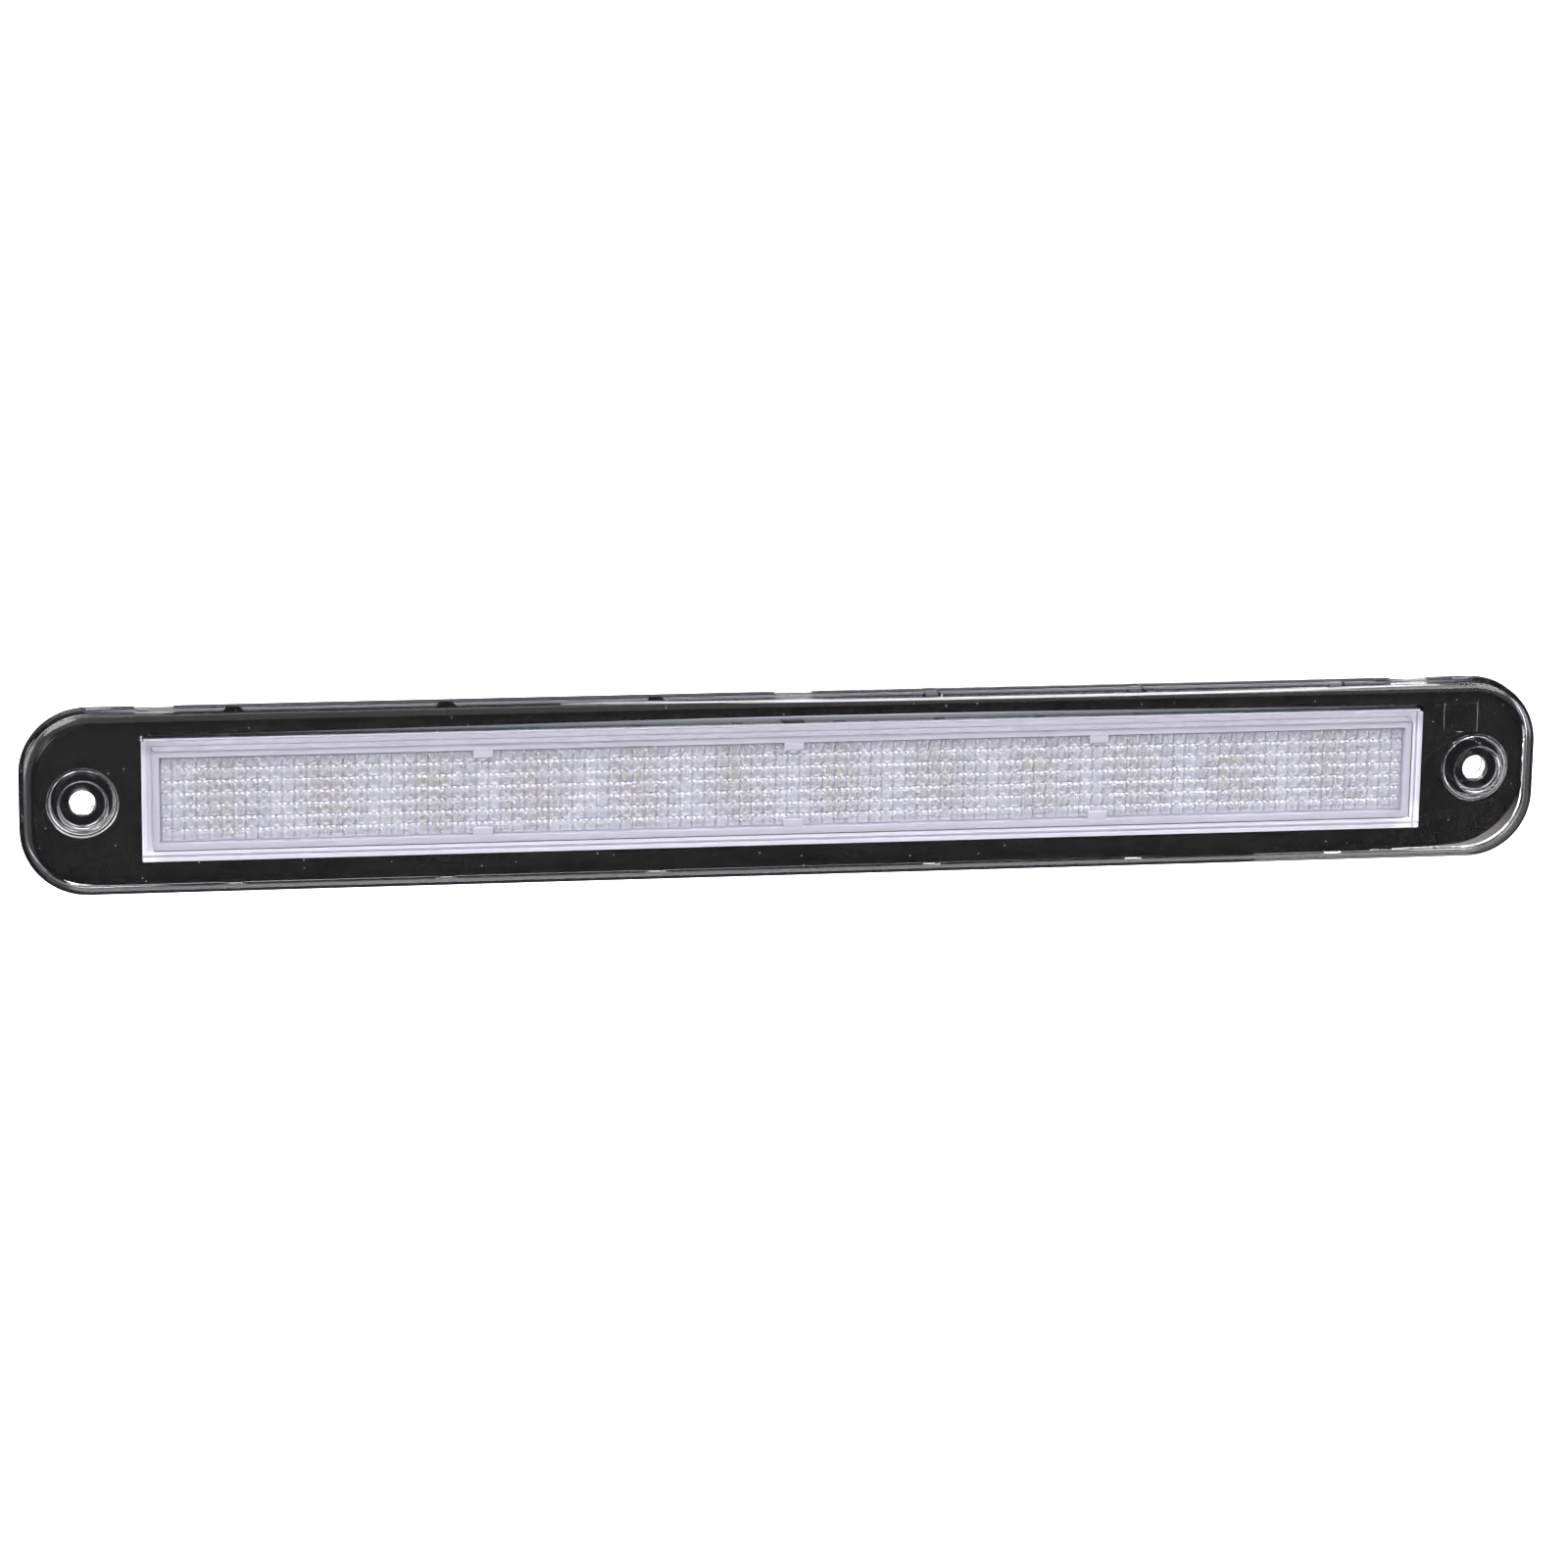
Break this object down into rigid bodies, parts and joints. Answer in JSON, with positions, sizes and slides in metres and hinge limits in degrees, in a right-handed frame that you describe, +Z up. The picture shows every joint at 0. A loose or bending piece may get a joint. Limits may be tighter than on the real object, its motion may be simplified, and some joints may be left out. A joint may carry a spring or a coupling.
{
  "type": "third brake light",
  "caption": "Long slim LED brake lamp: clear lens with a pillow-optic window, foam gasket, light box behind, two end screw holes and a rear connector.",
  "frame": {"origin": "midway between the two screw holes, on the mounting plane shared by the rear ends of the screw bosses", "axes": "+X along the lamp to the viewer's right seen from behind the vehicle, +Z up, +Y into the vehicle, so the lens faces -Y"},
  "size_m": [0.3, 0.0355, 0.0364],
  "materials": {
    "clear_acrylic": "polished clear PMMA",
    "clear_optic": "clear PMMA with moulded pillows",
    "clear_epoxy": "cast clear epoxy",
    "black_foam": "matt closed-cell foam",
    "grey_abs": "fine moulded texture",
    "frame_plastic": "satin moulded",
    "vacuum_metallised": "aluminium vapour on ABS",
    "board_laminate": "white solder mask",
    "led_white_plastic": "moulded",
    "tinned_metal": "bright tin",
    "chip_black": "moulded epoxy",
    "chip_ceramic": "fired ceramic",
    "zinc_steel": "zinc plated",
    "black_pbt": "moulded",
    "black_rubber": "matt",
    "white_membrane": "expanded PTFE"
  },
  "bodies": {
    "root": {"outer_lens": "clear_acrylic", "foam_gasket": "black_foam", "housing": "grey_abs", "optic_frame": "frame_plastic", "inner_optic": "clear_optic", "reflector": "vacuum_metallised", "circuit_board": "board_laminate", "led_bodies": "led_white_plastic", "led_leads": "tinned_metal", "led_domes": "clear_epoxy", "series_resistors": "chip_black", "string_regulators": "chip_black", "filter_capacitors": "chip_ceramic", "polarity_diode": "chip_black", "surge_suppressor": "chip_black", "board_screws": "zinc_steel", "connector_socket": "black_pbt", "connector_seal": "black_rubber", "terminal_pin_positive": "tinned_metal", "terminal_pin_ground": "tinned_metal", "pin_solder_joints": "tinned_metal", "vent_plug": "black_rubber", "vent_membrane": "white_membrane"}
  },
  "joints": []
}
